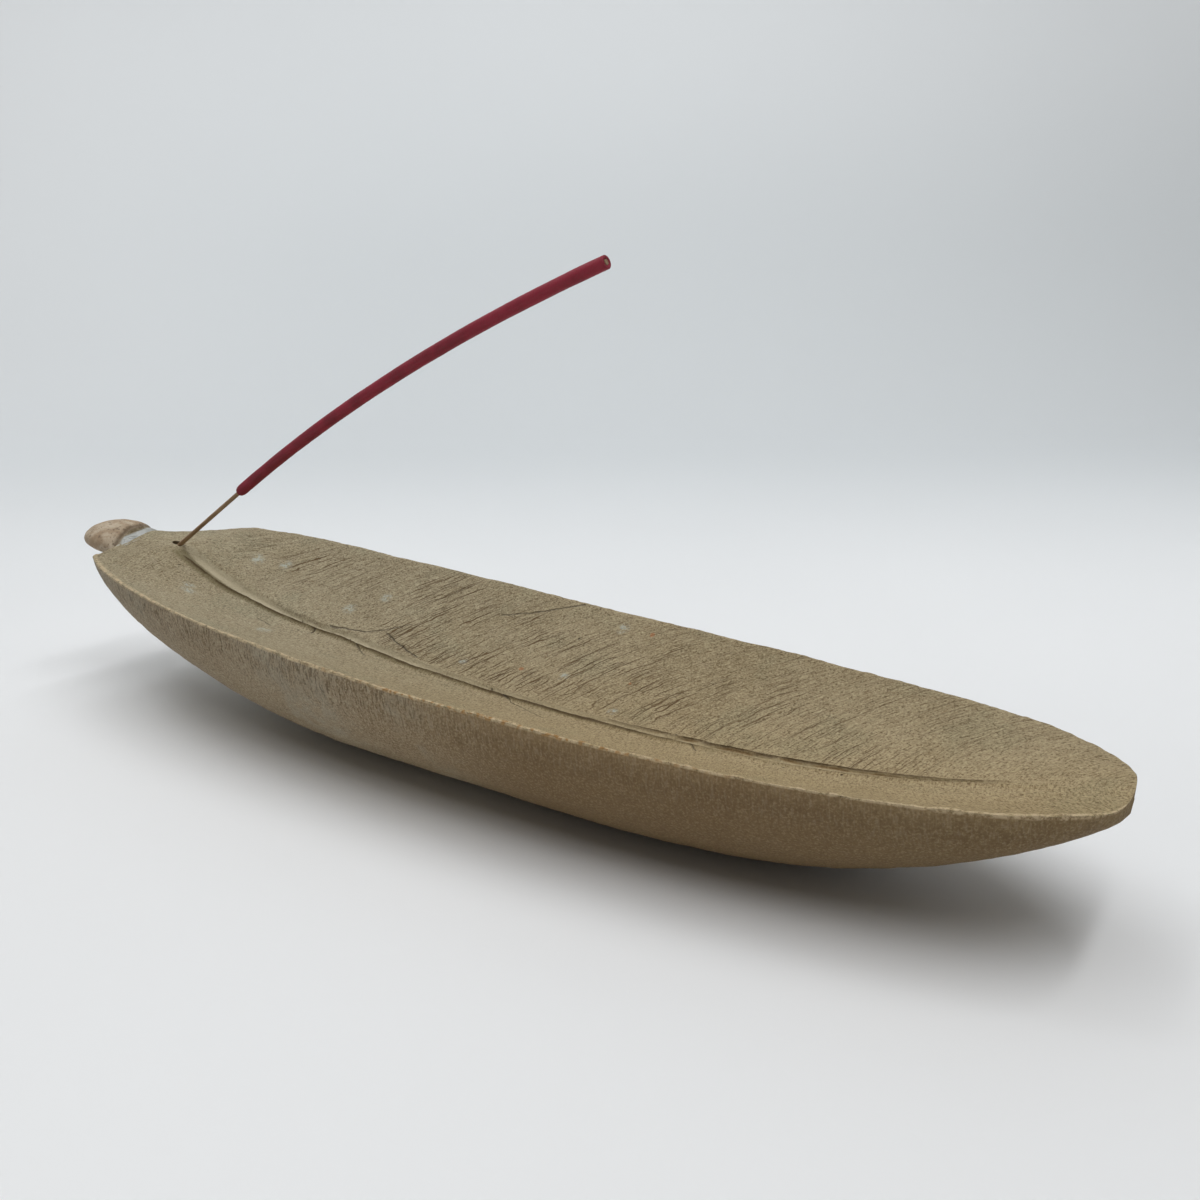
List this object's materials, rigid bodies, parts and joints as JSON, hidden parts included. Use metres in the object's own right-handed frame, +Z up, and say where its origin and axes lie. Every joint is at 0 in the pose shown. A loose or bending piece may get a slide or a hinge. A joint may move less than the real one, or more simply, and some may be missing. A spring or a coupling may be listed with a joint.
{
  "type": "incense burner",
  "caption": "Long leaf-shaped stone holder with a stem stub, a shallow ash dish and a hole where a slightly bent incense stick leans over the dish.",
  "frame": {"origin": "middle of the flat resting face under the leaf, halfway between the leaf's base end and its tip", "axes": "+X along the leaf towards its tip, +Y across the leaf, +Z up from the table"},
  "size_m": [0.3045, 0.0814, 0.126],
  "materials": {
    "stone": "carved and unpolished, with chisel marks, a worn rim and a smoother stem",
    "bamboo": "bare split bamboo, matt",
    "incense": "matt red incense paste"
  },
  "bodies": {
    "leaf": {"stone_leaf": "stone"},
    "stick": {"bamboo_splint": "bamboo", "incense_coating": "incense"}
  },
  "joints": [
    {"name": "stick_lift", "type": "slide", "parent": "leaf", "child": "stick", "axis": [0.8425, 0, 0.5388], "range_m": [0, 0.04]}
  ]
}
